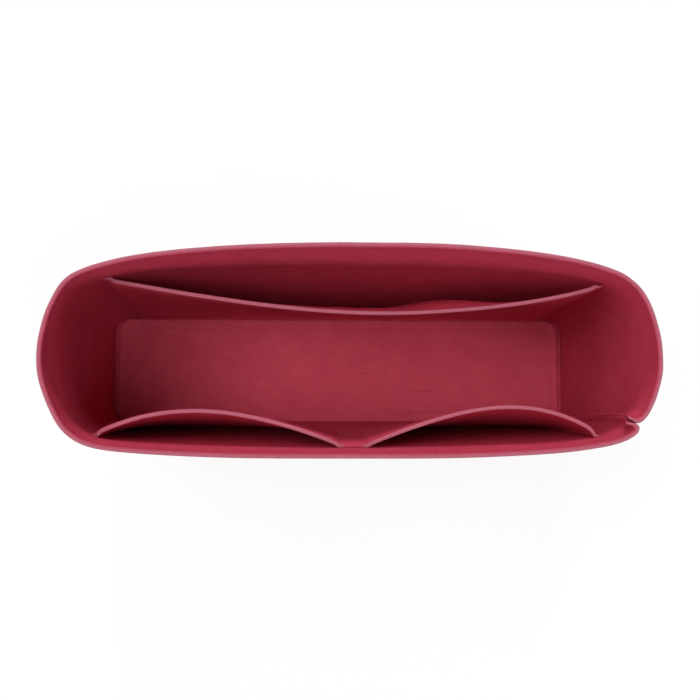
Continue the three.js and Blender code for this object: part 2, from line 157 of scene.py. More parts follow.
class InsertStudio(bpy.types.PropertyGroup):
    """The camera and the lamps"""

    eye: FloatVectorProperty(
        name="Camera place", description="Where the camera stands",
        default=(-21.0 * MM, -33.0 * MM, 555.6 * MM), subtype="XYZ", unit="LENGTH")
    target: FloatVectorProperty(
        name="Camera target", description="The point at rim height in the middle of the picture",
        default=(-1.6 * MM, -0.3 * MM, 150 * MM), subtype="XYZ", unit="LENGTH")
    lens: FloatProperty(
        name="Lens", description="Focal length for a sensor 36 mm wide", default=52.2, min=10,
        unit="CAMERA")
    light: FloatProperty(
        name="Light", description="Strength of all the lamps together", default=1.0, min=0)
    fill: FloatProperty(
        name="Fill", description="Strength of the even light from all sides", default=0.01, min=0)


# Shapes shared by the pieces

def smooth(x):
    """Rises from 0 to 1 with level ends"""
    x = np.clip(x, 0, 1)
    return x * x * (3 - 2 * x)


def bend(start, middle, end, share):
    """A point on the curve that leaves start towards middle and reaches end from there"""
    return (1 - share) ** 2 * start + 2 * share * (1 - share) * middle + share ** 2 * end


def ripple(u, v, wavelength, seed):
    """Soft random waves of about that wavelength, from about -1 to 1"""
    random = np.random.default_rng(seed)
    total = np.zeros(np.broadcast(u, v).shape)
    waves = 7
    for _ in range(waves):
        angle, phase = random.uniform(0, 2 * np.pi, 2)
        k = 2 * np.pi / (wavelength * random.uniform(0.7, 1.6))
        total = total + np.sin(k * (u * np.cos(angle) + v * np.sin(angle)) + phase)
    return total / math.sqrt(waves)


def graded(start, stop, step, marks=(), reach=()):
    """Places from start to stop in even steps, and at the given distances either side of each mark"""
    fine = np.array([m + side * r for m in marks for r in reach for side in (-1, 1)])
    fine = np.unique(np.round(np.append(fine, [start, stop]), 7))
    fine = fine[(fine >= start) & (fine <= stop)]
    coarse = np.linspace(start, stop, max(2, round((stop - start) / step) + 1))
    clear = np.abs(coarse[:, None] - fine[None, :]).min(1) > step * 0.3
    return np.sort(np.append(fine, coarse[clear]))


class Walls:
    """The bent sheet of the walls, from the base's outline at the ground to the rim"""

    fold = 2.8 * MM
    hem_corner = 1 * MM
    layer_gap = 0.03 * MM
    floor_gap = 0.4 * MM
    base_stitch_inset = 6 * MM
    curve_steps = 40
    wave_length = 70 * MM
    calm_beside_seam = 25 * MM
    calm_over_foot = 60 * MM
    # Below the rim the corner seam bows a little towards the right end
    seam_bow = 2.1 * MM
    bow_reach = 13 * MM
    bow_starts, bow_fades, bow_fading = 10 * MM, 45 * MM, 60 * MM
    seam_bow_way = (0.34, 0.94)

    def __init__(self, sizes):
        self.sizes = sizes
        self.t = sizes.felt
        self.half_length = sizes.base_length / 2 + self.t
        self.half_width = sizes.base_width / 2 + self.t
        self.corner = sizes.base_corner + self.t
        self.ledge = 2 * self.t + 2 * self.floor_gap
        self.base_run = self.t + self.base_stitch_inset
        lengths = []
        for low, high, first, last in BASE_STRETCHES:
            arc = math.radians(high - low) * self.corner
            across = abs(last[0] - first[0]) * (self.half_length - self.corner)
            along = abs(last[1] - first[1]) * (self.half_width - self.corner)
            lengths.append(arc + across + along)
        self.lengths = np.array(lengths)
        self.starts = np.concatenate([[0], np.cumsum(lengths)])
        self.around = self.starts[-1]
        self.corners = [(self.starts[k] + self.starts[k + 1]) / 2 for k in (2, 4, 6)]
        self.rim, self.rim_tangent, self.rim_share = self.rim_curve()

    def rim_curve(self):
        """The rim as close points: a centripetal curve through its outline's points"""
        half = np.array([self.sizes.rim_length, self.sizes.rim_width]) / 2
        points = np.array(RIM_OUTLINE_SHARES) * half
        points = np.vstack([2 * points[0] - points[1], points, 2 * points[-1] - points[-2]])
        found = []
        for k in range(1, len(points) - 2):
            p = points[k - 1:k + 3]
            dt = np.linalg.norm(np.diff(p, axis=0), axis=1) ** 0.5
            start = (p[1] - p[0]) / dt[0] - (p[2] - p[0]) / (dt[0] + dt[1]) + (p[2] - p[1]) / dt[1]
            end = (p[2] - p[1]) / dt[1] - (p[3] - p[1]) / (dt[1] + dt[2]) + (p[3] - p[2]) / dt[2]
            start, end = start * dt[1], end * dt[1]
            x = np.arange(self.curve_steps)[:, None] / self.curve_steps
            found.append(
                p[1] + start * x + (3 * (p[2] - p[1]) - 2 * start - end) * x ** 2
                + (2 * (p[1] - p[2]) + start + end) * x ** 3)
        curve = np.vstack([*found, points[-2:-1]])
        along = np.concatenate([[0], np.cumsum(np.linalg.norm(np.diff(curve, axis=0), axis=1))])
        tangent = np.gradient(curve, along, axis=0)
        return curve, tangent, along / along[-1]

    def base(self, distance, inset=0.0):
        """Points and outward normals of the base's outline, drawn in by inset"""
        distance, inset = np.broadcast_arrays(np.asarray(distance, float), np.asarray(inset, float))
        k = np.clip(np.searchsorted(self.starts, distance, side="right") - 1, 0, len(BASE_STRETCHES) - 1)
        share = (distance - self.starts[k]) / self.lengths[k]
        angles = np.radians([stretch[:2] for stretch in BASE_STRETCHES])
        angle = angles[k, 0] + share * (angles[k, 1] - angles[k, 0])
        normal = np.stack([np.cos(angle), np.sin(angle)], -1)
        radius = np.maximum(self.corner - inset, self.hem_corner)
        reach = np.stack([self.half_length - inset - radius, self.half_width - inset - radius], -1)
        ends = np.array([stretch[2:] for stretch in BASE_STRETCHES], float)
        centre = reach * (ends[k, 0] + share[..., None] * (ends[k, 1] - ends[k, 0]))
        return centre + radius[..., None] * normal, normal

    def face(self, distance, height):
        """Points and outward normals of the wall's outer face, seen from above"""
        distance, height = np.broadcast_arrays(np.asarray(distance, float), np.asarray(height, float))
        low, low_normal = self.base(distance)
        share = distance / self.around
        high = np.stack([np.interp(share, self.rim_share, self.rim[:, k]) for k in (0, 1)], -1)
        tangent = np.stack([np.interp(share, self.rim_share, self.rim_tangent[:, k]) for k in (0, 1)], -1)
        high_normal = np.stack([tangent[..., 1], -tangent[..., 0]], -1)
        rise = (height / self.sizes.height)[..., None]
        point = low + rise * (high - low)
        normal = low_normal + rise * (high_normal - low_normal)
        normal = normal / np.linalg.norm(normal, axis=-1, keepdims=True)
        from_seam = np.minimum(distance, self.around - distance)
        calm = smooth(from_seam / self.calm_beside_seam) * smooth(height / self.calm_over_foot)
        calm = calm * (1 - smooth(height / self.sizes.height))
        wave = self.sizes.wave * calm * ripple(distance, height, self.wave_length, 11)
        below = self.sizes.height - height
        bow = smooth(below / self.bow_starts) * (1 - smooth((below - self.bow_fades) / self.bow_fading))
        bow = self.seam_bow * bow * (1 - smooth(from_seam / self.bow_reach))
        return point + wave[..., None] * normal + bow[..., None] * np.array(self.seam_bow_way), normal

    def point(self, distance, height, inset):
        """Points in the walls' felt, as deep as inset behind the outer face"""
        point, normal = self.face(distance, height)
        inset, height = np.broadcast_arrays(inset, height)
        point = point - inset[..., None] * normal
        return np.concatenate([point, np.broadcast_to(height, point.shape[:-1])[..., None]], -1)

    def outward(self, distance, height):
        """The outward normals of the wall's outer face, which are taken as level"""
        _, normal = self.face(distance, height)
        return np.concatenate([normal, np.zeros(normal.shape[:-1] + (1,))], -1)

    def seam(self, height):
        """The corner seam's cusp, the way in from it, and the way across from the front to the right end"""
        start, start_normal = self.face(np.zeros_like(height), height)
        _, end_normal = self.face(np.full_like(height, self.around), height)
        inward = -(start_normal + end_normal)
        inward = inward / np.linalg.norm(inward, axis=-1, keepdims=True)
        across = np.stack([inward[..., 1], -inward[..., 0]], -1)
        return start, inward, across

    def seam_point(self, height, inset, sideways):
        """Points beside the corner seam: how far in from the cusp, and how far towards the right end"""
        cusp, inward, across = self.seam(height)
        inset, sideways, height = np.broadcast_arrays(inset, sideways, height)
        place = cusp + inset[..., None] * inward + sideways[..., None] * across
        return np.concatenate([place, height[..., None]], -1)


class Pocket:
    """A pocket piece: its ends along the wall, its stitch runs and how its mouths stand off the wall"""

    foot = 10.8 * MM
    margin = 2.2 * MM
    relief = 0.8 * MM
    ease = 2.4 * MM
    rise_share = 1.4
    lift_power = 9
    least_pale, most_pale = 0.4, 0.95
    pale_at_end = 0.9
    pale_blend = 3.5 * MM
    pressed = 0.12
    press_length = 5 * MM
    nudge = 0.5 * MM
    roll, roll_height = 0.5 * MM, 1.3 * MM
    run_drop = 1.5 * MM

    def __init__(self, walls, start, end, mouths, middle=None, lean=(0, 1, 0), lift=(0, 1, 0)):
        """mouths are each a start and an end on the wall, how far it stands off, and its curve's fullness and
        skew. middle is where a seam divides the piece. lean is a place on the mouth where the piece stands
        off mostly at its top: its distance round the wall, its half width, and how much the rise's power
        grows there. lift is a place where the mouth's edge alone stands further off: its distance, its width
        and how far."""
        self.walls = walls
        self.start, self.end = start, end
        self.first, self.last = start + self.margin, end - self.margin
        self.mouths, self.middle = mouths, middle
        self.lean, self.lift = lean, lift
        self.foot_run = self.foot + self.margin
        self.top = walls.sizes.pocket_top
        self.run_top = self.top - self.run_drop

    def belly(self, distance, height):
        """How far the piece's back stands off the wall"""
        rise = np.clip((height - self.foot_run) / (self.top - self.foot_run), 0, None)
        middle, half_width, growth = self.lean
        power = self.rise_share + growth * smooth(1 - np.abs(distance - middle) / half_width)
        total = np.zeros(np.broadcast(distance, height).shape)
        for start, end, depth, fullness, skew in self.mouths:
            along = np.clip((distance - start) / (end - start), 0, 1)
            bow = np.sin(np.pi * along ** skew) ** fullness
            from_ends = np.minimum(np.abs(distance - start), np.abs(end - distance))
            inside = (along > 0) & (along < 1)
            total = total + inside * depth * bow * smooth(from_ends / self.ease) * rise ** power
        middle, width, lift = self.lift
        return total + lift * np.exp(-((distance - middle) / width) ** 2) * rise ** self.lift_power

    def back(self, distance, height):
        """The piece's back face"""
        walls = self.walls
        return walls.point(distance, height, walls.t + walls.layer_gap + self.belly(distance, height))

    def normal(self, distance, height):
        """The way off the piece's front, into the compartment"""
        across = self.back(distance + self.nudge, height) - self.back(distance - self.nudge, height)
        up = self.back(distance, height + self.nudge) - self.back(distance, height - self.nudge)
        normal = np.cross(up, across)
        return normal / np.linalg.norm(normal, axis=-1, keepdims=True)

    def thickness(self, distance):
        """The felt's thickness, which its seams press thin towards the piece's sides"""
        from_end = np.minimum(distance - self.start, self.end - distance)
        short = 1 - np.clip(from_end / self.press_length, 0, 1)
        return self.walls.t * (self.pressed + (1 - self.pressed) * (1 - short ** 2))

    def paleness(self, distance):
        """How pale the mouth's cut edge is: less where the seams press it"""
        share = np.zeros(np.shape(distance))
        for start, end, *_ in self.mouths:
            low, high = min(start, end), max(start, end)
            inside = np.minimum(distance - low, high - distance)
            share = np.maximum(share, smooth(self.pale_at_end + inside / self.pale_blend))
        return self.least_pale + (self.most_pale - self.least_pale) * share

    def front(self, distance, height, sunk=0.0):
        """The piece's front face, level with its back so that the mouth is cut straight"""
        out = self.normal(distance, height)
        roll = self.roll * np.exp((height - self.top) / self.roll_height)
        thick = np.asarray(self.thickness(distance) * (1 - roll / self.walls.t) - sunk)
        found = self.back(distance, height) + thick[..., None] * out
        found[..., 2] = np.broadcast_to(height, found.shape[:-1])
        return found

    def runs(self):
        """The course of the outer seam as distance and height: down one side, along the foot and up"""
        top, foot = self.run_top, self.foot_run
        return [(self.first, top), (self.first, foot), (self.last, foot), (self.last, top)]

    def near_seams(self, distance, height):
        """How far places on the piece lie from its seams"""
        nearest = near_course(distance, height, self.runs())
        if self.middle:
            middle = [(self.middle, self.run_top), (self.middle, self.foot_run)]
            nearest = np.minimum(nearest, near_course(distance, height, middle))
        return nearest


def back_pocket(walls):
    """The wide pocket on the back wall, between the two back corners"""
    margin = 13.8 * MM
    start, end = walls.corners[0] + margin, walls.corners[1] - margin
    edge = Pocket.margin + Pocket.relief
    lean = (start + 61 * MM, 31 * MM, 0.85)
    lift = (start + 2.6 * MM, 2.0 * MM, 1.4 * MM)
    mouth = (start + edge, end - edge, 21.85 * MM, 0.77, 0.87)
    return Pocket(walls, start, end, [mouth], None, lean, lift)


def front_strip(walls):
    """The strip on the front wall that holds two pockets, from the left corner to the corner seam"""
    margin = 13.4 * MM
    start, end = walls.corners[2] + margin, walls.around - margin
    edge = Pocket.margin + Pocket.relief
    middle = (start + end) / 2
    mouths = [
        (start + edge, middle - 3.4 * MM, 13.8 * MM, 0.87, 0.84),
        (end - edge, middle + 7.6 * MM, 15.4 * MM, 0.92, 0.76),
    ]
    return Pocket(walls, start, end, mouths, middle)


def near_course(distance, height, course):
    """How far places on the wall lie from a seam's course"""
    nearest = np.full(np.broadcast(distance, height).shape, np.inf)
    for (a, b), (c, d) in zip(course, course[1:]):
        run = np.array([c - a, d - b])
        share = ((distance - a) * run[0] + (height - b) * run[1]) / (run @ run)
        share = np.clip(share, 0, 1)
        away = np.hypot(distance - a - share * run[0], height - b - share * run[1])
        nearest = np.minimum(nearest, away)
    return nearest


CHANNEL = 0.14 * MM
CHANNEL_WIDTH = 1.1 * MM


def channel(away):
    """How deep a seam draws the felt's face in, by the distance from its course"""
    return CHANNEL * np.exp(-(away / CHANNEL_WIDTH) ** 2)


# Meshes

# A cut edge: the shares of the thickness where it has points, how much the faces pinch in there, how unevenly
# it stands out, and how much of its colour reaches the faces' borders. The rim's cut is the palest, and fades
# from a share of its thickness on.
EDGE_LEVELS = (0.1, 0.28, 0.5, 0.72, 0.9)
EDGE_PINCH = 0.03
EDGE_RAGGED = 0.35
EDGE_BLUSH = 0.7
RIM_BULGE = 0.3 * MM
RIM_PALENESS = 1.0
RIM_BLUSH = 0.25
RIM_FADE = 0.47
FADE_START = 0.2
BLUSH_DEPTH = 1.5 * MM


def thick_sheet(name, front, back, material, bulge, pale, blush=0.0, fade=0.0, cells=None):
    """A closed mesh of felt between two grids of points. Along every border the cut edge stands out by
    about bulge, with a ragged line. pale is how open and pale a cut edge is at each place, and blush how
    much of the cut's colour shows on the faces, both from 0 to 1. fade is how much of the paleness is lost
    between the front's border and the back's. cells says which of the grid's cells hold felt: all of them
    where it isn't given."""
    rows, columns = front.shape[:2]
    if cells is None:
        cells = np.ones((rows - 1, columns - 1), bool)
    number = np.arange(rows * columns).reshape(rows, columns)
    a, b = number[:-1, :-1], number[:-1, 1:]
    c, d = number[1:, 1:], number[1:, :-1]
    quads = np.stack([a, b, c, d], -1)[cells]
    points, under = front.reshape(-1, 3), back.reshape(-1, 3)
    thickness = points - under
    corners = points[quads]
    facing = np.cross(corners[:, 2] - corners[:, 0], corners[:, 3] - corners[:, 1])
    if (thickness[quads].mean(1) * facing).sum() < 0:
        quads = quads[:, ::-1]
    edges = np.concatenate([quads[:, [k, (k + 1) % 4]] for k in range(4)])
    known = {tuple(edge) for edge in edges.tolist()}
    border = [edge for edge in edges.tolist() if (edge[1], edge[0]) not in known]
    out = np.zeros_like(points)
    for start, end in border:
        for place in (start, end):
            out[place] += np.cross(points[end] - points[start], thickness[place])
    on_border = sorted({place for edge in border for place in edge})
    out[on_border] /= np.linalg.norm(out[on_border], axis=1, keepdims=True)
    total = len(points)
    vertices = [points.copy(), under.copy()]
    vertices[0][on_border] += EDGE_PINCH * (under - points)[on_border]
    vertices[1][on_border] += EDGE_PINCH * (points - under)[on_border]
    strips = {}
    pale, blush = (np.broadcast_to(v, (rows, columns)).ravel() for v in (pale, blush))
    on_front, on_back = blush.copy(), blush.copy()
    on_front[on_border] = np.maximum(blush, EDGE_BLUSH * pale)[on_border]
    on_back[on_border] = np.maximum(blush, EDGE_BLUSH * pale * (1 - fade))[on_border]
    on_side = []
    random = np.random.default_rng(len(name))
    ragged = np.convolve(random.normal(0, 1, len(on_border) + 2), (0.25, 0.5, 0.25), "valid")
    side = []
    for rank, place in enumerate(on_border):
        reach = bulge * (1 + EDGE_RAGGED * ragged[rank])
        ids = [place]
        for level in EDGE_LEVELS:
            ids.append(2 * total + len(side))
            swell = math.sqrt(max(0.0, 1 - (2 * level - 1) ** 2))
            side.append(points[place] - level * thickness[place] + reach * swell * out[place])
            faded = fade * smooth((level - FADE_START) / (1 - FADE_START))
            on_side.append(pale[place] * (1 - faded))
        ids.append(total + place)
        strips[place] = ids
    faces = [tuple(q) for q in quads.tolist()]
    faces += [tuple(total + k for k in reversed(q)) for q in quads.tolist()]
    for start, end in border:
        near, far = strips[start], strips[end]
        faces += [(far[k], near[k], near[k + 1], far[k + 1]) for k in range(len(near) - 1)]
    points = np.vstack([*vertices, np.array(side)])
    return mesh_object(name, points, faces, material, np.concatenate([on_front, on_back, on_side]))


def mesh_object(name, vertices, faces, material, cut_edge=None):
    """A smooth-shaded object from points and faces, without the points that no face uses"""
    used, compact = np.unique(np.concatenate([np.array(f) for f in faces]), return_inverse=True)
    lengths = np.array([len(f) for f in faces])
    mesh = bpy.data.meshes.new(name)
    mesh.vertices.add(len(used))
    mesh.vertices.foreach_set("co", np.asarray(vertices, np.float32)[used].ravel())
    mesh.loops.add(len(compact))
    mesh.loops.foreach_set("vertex_index", compact.astype(np.int32).ravel())
    mesh.polygons.add(len(faces))
    starts = np.concatenate([[0], np.cumsum(lengths)[:-1]])
    mesh.polygons.foreach_set("loop_start", starts.astype(np.int32))
    mesh.polygons.foreach_set("use_smooth", np.ones(len(faces), bool))
    mesh.materials.append(material)
    if cut_edge is not None:
        share = mesh.attributes.new("cut_edge", "FLOAT", "POINT")
        share.data.foreach_set("value", np.asarray(cut_edge, np.float32)[used])
    mesh.update(calc_edges=True)
    mesh.validate()
    made = bpy.data.objects.new(name, mesh)
    bpy.context.scene.collection.objects.link(made)
    return made


def tube(places, normals, radius, sides=6):
    """Points and faces of a closed round tube along places"""
    count = len(places)
    tangent = np.gradient(places, axis=0)
    tangent /= np.linalg.norm(tangent, axis=1, keepdims=True)
    across = np.cross(tangent, normals)
    across /= np.linalg.norm(across, axis=1, keepdims=True)
    up = np.cross(across, tangent)
    angle = np.arange(sides) * 2 * np.pi / sides
    spokes = np.cos(angle)[None, :, None] * across[:, None] + np.sin(angle)[None, :, None] * up[:, None]
    points = (places[:, None] + radius * spokes).reshape(-1, 3)
    faces = []
    for i in range(count - 1):
        for j in range(sides):
            k = (j + 1) % sides
            faces.append((i * sides + j, (i + 1) * sides + j, (i + 1) * sides + k, i * sides + k))
    last = (count - 1) * sides
    faces.append(tuple(range(sides)))
    faces.append(tuple(last + k for k in reversed(range(sides))))
    return points, faces


# A lockstitch from hole to hole: where along it each point is, and how high over the felt's face
STITCH_COURSE = ((0, -1.5), (0.09, -0.7), (0.2, 0.1), (0.5, 0.3), (0.8, 0.1), (0.91, -0.7))


def lockstitches(name, places, normals, sizes, material):
    """A row of lockstitches along close places on the felt, as one unbroken thread"""
    along = np.concatenate([[0], np.cumsum(np.linalg.norm(np.diff(places, axis=0), axis=1))])
    count = max(1, round(along[-1] / sizes.stitch))
    step = along[-1] / count
    course = [((k + share) * step, high) for k in range(count) for share, high in STITCH_COURSE]
    course.append((count * step, STITCH_COURSE[0][1]))
    where = np.array([c[0] for c in course])
    high = np.array([c[1] for c in course]) * sizes.thread
    line = np.stack([np.interp(where, along, places[:, k]) for k in range(3)], 1)
    normal = np.stack([np.interp(where, along, normals[:, k]) for k in range(3)], 1)
    normal /= np.linalg.norm(normal, axis=1, keepdims=True)
    points, faces = tube(line + high[:, None] * normal, normal, sizes.thread / 2)
    return mesh_object(name, points, faces, material)


def hand_over(piece, node):
    """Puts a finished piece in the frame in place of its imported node"""
    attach(piece, BODY)
    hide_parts(node)
    return piece


# Materials

def linear(hex_colour):
    """An sRGB hex colour as linear RGBA"""
    channels = [int(hex_colour[k:k + 2], 16) / 255 for k in (1, 3, 5)]
    return [c / 12.92 if c <= 0.04045 else ((c + 0.055) / 1.055) ** 2.4 for c in channels] + [1.0]


def node(tree, kind, settings=None, numbered=None, **named):
    """Adds a node. settings are its own properties. Sockets are given by number, or by name with _ for a
    space, and each takes a value or another node's output."""
    made = tree.nodes.new(kind)
    for key, value in (settings or {}).items():
        setattr(made, key, value)
    given = [(made.inputs[key], value) for key, value in (numbered or {}).items()]
    for key, value in named.items():
        wanted = key.replace("_", " ")
        given.append((next(s for s in made.inputs if s.name == wanted and s.enabled), value))
    for socket, value in given:
        if isinstance(value, bpy.types.NodeSocket):
            tree.links.new(value, socket)
        else:
            socket.default_value = value
    return made


def new_material(name):
    """The material of that name, with its empty node tree where it's new and None where it isn't"""
    found = bpy.data.materials.get(name)
    if found:
        return found, None
    material = bpy.data.materials.new(name)
    material.use_nodes = True
    material.node_tree.nodes.clear()
    return material, material.node_tree


# The ways that the felt's drawn fibres lie, as turns in degrees about X, Y and Z
FIBRE_TURNS = ((12, 8, 20), (-20, 55, 75), (35, -48, -40), (80, 15, 130))


def fibre_fleece(tree, width, strand):
    """Fibres that lie every way, as a value from 0 to 1. Real ones are about 0.03 mm thick: these are drawn
    as thick as width, in millimetres, so that they show. strand is about how long they are."""
    coordinates = node(tree, "ShaderNodeTexCoord").outputs["Object"]
    total = 0.0
    for turn in FIBRE_TURNS:
        turned = node(tree, "ShaderNodeMapping", {"vector_type": "TEXTURE"}, Vector=coordinates,
                      Rotation=[math.radians(a) for a in turn],
                      Scale=(strand * MM, width * MM, width * MM))
        strands = node(tree, "ShaderNodeTexNoise", {"noise_dimensions": "3D"},
                       Vector=turned.outputs["Vector"], Scale=1.0, Detail=2.0, Roughness=0.55, Distortion=0.6)
        sharp = node(tree, "ShaderNodeMapRange", {"interpolation_type": "SMOOTHSTEP"},
                     Value=strands.outputs["Fac"], From_Min=0.5, From_Max=0.68)
        both = node(tree, "ShaderNodeMath", {"operation": "MAXIMUM"}, {0: sharp.outputs["Result"], 1: total})
        total = both.outputs["Value"]
    return total


def cloudiness(tree, size):
    """Even blotches of about that size in millimetres, from 0 to 1"""
    coordinates = node(tree, "ShaderNodeTexCoord").outputs["Object"]
    return node(tree, "ShaderNodeTexNoise", {"noise_dimensions": "3D"}, Vector=coordinates,
                Scale=1 / (size * MM), Detail=3.0, Roughness=0.5).outputs["Fac"]


def mix_colours(tree, share, first, second):
    """A colour between two, each a hex value's colour or another node's output"""
    made = node(tree, "ShaderNodeMix", {"data_type": "RGBA"}, Factor=share, A=first, B=second)
    return next(s for s in made.outputs if s.enabled)


def wall_felt():
    """The felt of the walls and the pockets"""
    colours = bpy.context.scene.insert_colours
    return felt("needle_punched_felt", colours.felt, colours.felt_shade)


def floor_felt():
    """The floor panel's copy of the felt is a little paler and less red than the walls': painted light, for
    the floor that faces up into the lamps while the walls take more light bounced red inside the box
    """
    colours = bpy.context.scene.insert_colours
    return felt("painted_lit_floor_felt", colours.floor, colours.floor_shade)


def felt(name, fibre, ground):
    """Needle-punched polyester felt, dyed in the fibre. It is matt and without shine. Its pressed faces are
    faintly clouded where the fibres lie closer, with single fibres a little lighter than the ground between
    them. A cut edge is deeper in colour where it is pressed together, and paler and duller, with fine
    specks, where the fibres' ends stand open."""
    colours = bpy.context.scene.insert_colours
    material, tree = new_material(name)
    if tree is None:
        return material
    fleece = fibre_fleece(tree, width=0.45, strand=5.0)
    clouds = node(tree, "ShaderNodeMapRange", Value=cloudiness(tree, size=9.0), From_Min=0.3, From_Max=0.7,
                  To_Min=0.15, To_Max=0.55)
    share = node(tree, "ShaderNodeMath", {"operation": "MULTIPLY_ADD", "use_clamp": True},
                 {0: fleece, 1: 0.5, 2: clouds.outputs["Result"]})
    face = mix_colours(tree, share.outputs["Value"], linear(ground), linear(fibre))
    specks = cloudiness(tree, size=0.7)
    cut = node(tree, "ShaderNodeAttribute", {"attribute_name": "cut_edge"}).outputs["Fac"]
    uneven = node(tree, "ShaderNodeMapRange", Value=specks, From_Min=0.3, From_Max=0.7,
                  To_Min=-0.12, To_Max=0.12)
    spread = node(tree, "ShaderNodeMath", {"operation": "ADD"}, {0: cut, 1: uneven.outputs["Result"]})
    densely = node(tree, "ShaderNodeMapRange", Value=cut, From_Min=0.0, From_Max=0.5)
    openly = node(tree, "ShaderNodeMapRange", Value=spread.outputs["Value"], From_Min=0.5, From_Max=1.0)
    dense = mix_colours(tree, densely.outputs["Result"], face, linear(colours.edge_shade))
    colour = mix_colours(tree, openly.outputs["Result"], dense, linear(colours.edge))
    nap = node(tree, "ShaderNodeMath", {"operation": "ADD"}, {0: fleece, 1: cloudiness(tree, size=0.5)})
    open_nap = node(tree, "ShaderNodeMath", {"operation": "MULTIPLY_ADD"},
                    {0: specks, 1: cut, 2: nap.outputs["Value"]})
    bump = node(tree, "ShaderNodeBump", Strength=0.5, Distance=0.12 * MM, Height=open_nap.outputs["Value"])
    shader = node(tree, "ShaderNodeBsdfPrincipled", Base_Color=colour, Roughness=0.95, IOR=1.45,
                  Specular_IOR_Level=0.04, Normal=bump.outputs["Normal"])
    node(tree, "ShaderNodeOutputMaterial", Surface=shader.outputs["BSDF"])
    return material


def sewing_thread():
    """Spun polyester sewing thread, dyed to match the felt: a little smoother, and as matt to the eye."""
    colours = bpy.context.scene.insert_colours
    material, tree = new_material("spun_polyester_thread")
    if tree is None:
        return material
    fluff = cloudiness(tree, size=0.3)
    bump = node(tree, "ShaderNodeBump", Strength=0.3, Distance=0.05 * MM, Height=fluff)
    shader = node(tree, "ShaderNodeBsdfPrincipled", Base_Color=linear(colours.thread), Roughness=0.8,
                  IOR=1.5, Specular_IOR_Level=0.1, Normal=bump.outputs["Normal"])
    node(tree, "ShaderNodeOutputMaterial", Surface=shader.outputs["BSDF"])
    return material


def studio_paper(white_share):
    """Seamless matt background paper, which the camera sees nearly white, with the object's soft shadow.
    white_share is how much of it the camera sees as plain white."""
    colours = bpy.context.scene.insert_colours
    material, tree = new_material("matt_studio_paper")
    if tree is None:
        return material
    paper = node(tree, "ShaderNodeBsdfDiffuse", Color=linear(colours.paper), Roughness=1.0)
    white = node(tree, "ShaderNodeEmission", Color=(1, 1, 1, 1), Strength=1.0)
    share = node(tree, "ShaderNodeMath", {"operation": "MULTIPLY"}, {0: seen_directly(tree), 1: white_share})
    mixed = node(tree, "ShaderNodeMixShader", None,
                 {0: share.outputs["Value"], 1: paper.outputs["BSDF"], 2: white.outputs["Emission"]})
    node(tree, "ShaderNodeOutputMaterial", Surface=mixed.outputs["Shader"])
    return material


def seen_directly(tree):
    """1 for what the camera sees straight, in a reflection or through something clear"""
    path = node(tree, "ShaderNodeLightPath")
    total = path.outputs["Is Camera Ray"]
    for other in ("Is Glossy Ray", "Is Transmission Ray"):
        either = node(tree, "ShaderNodeMath", {"operation": "MAXIMUM"}, {0: total, 1: path.outputs[other]})
        total = either.outputs["Value"]
    return total


# The wall band

BAND_STEP = 2.6 * MM
ROW_STEP = 3.4 * MM
# Where the mesh is finer: beside a seam's course, beside the corner seam and under the rim
RUN_REACH = tuple(x * MM for x in (0, 0.5, 1.0, 1.6, 2.4))
SEAM_COLUMNS = tuple(k * 0.8 * MM for k in range(1, 16))
RIM_ROWS = tuple(x * MM for x in (0.45, 1.1, 2.0))
LEAST_ROW_STEP = 0.6 * MM
# Shares of the way along the allowance, and along its turn into the wall
ALLOWANCE_SHARES = (0, 0.08, 0.25, 0.45, 0.65, 0.85, 1)
TURN_SHARES = (0.15, 0.32, 0.5, 0.68, 0.85)
# The foot's fold in degrees, and the groove that the base seam draws in the hem: its depth, and its width and
# the mesh's places across it in millimetres
FOLD_ANGLES = (0, 22.5, 45, 67.5, 90)
GROOVE = 0.95 * MM
GROOVE_WIDTH = 0.75
GROOVE_PLACES = (-2.4, -1.4, -0.9, -0.45, 0, 0.45, 0.9, 1.4, 2.2)


